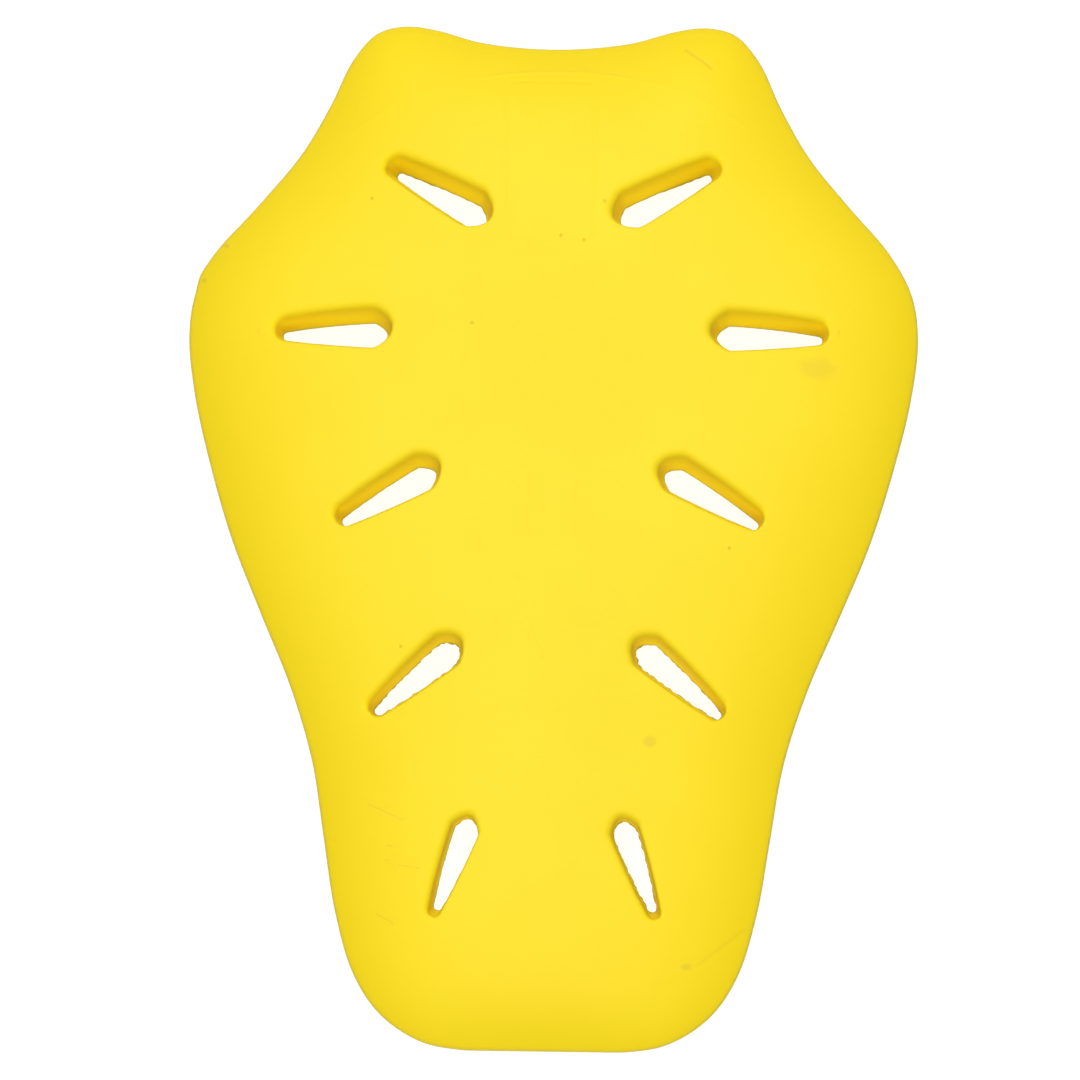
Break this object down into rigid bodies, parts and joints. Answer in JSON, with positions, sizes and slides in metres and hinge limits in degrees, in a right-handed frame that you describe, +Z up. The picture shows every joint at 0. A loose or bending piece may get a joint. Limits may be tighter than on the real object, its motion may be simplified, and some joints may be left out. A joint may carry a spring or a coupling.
{
  "type": "back protector pad",
  "caption": "Moulded foam back protector insert: a crowned body-shaped pad with twin upper lobes, flared wings, a tapered tail and teardrop vents.",
  "frame": {"origin": "centre of the pad's outline on the surface that it lies on", "axes": "+Z up out of the crowned outer face, +Y along the spine towards the two upper lobes, +X across the wings"},
  "size_m": [0.299, 0.42, 0.0324],
  "materials": {
    "foam": "soft moulded impact foam with a smooth satin skin and fine grain"
  },
  "bodies": {
    "root": {"pad": "foam"}
  },
  "joints": []
}
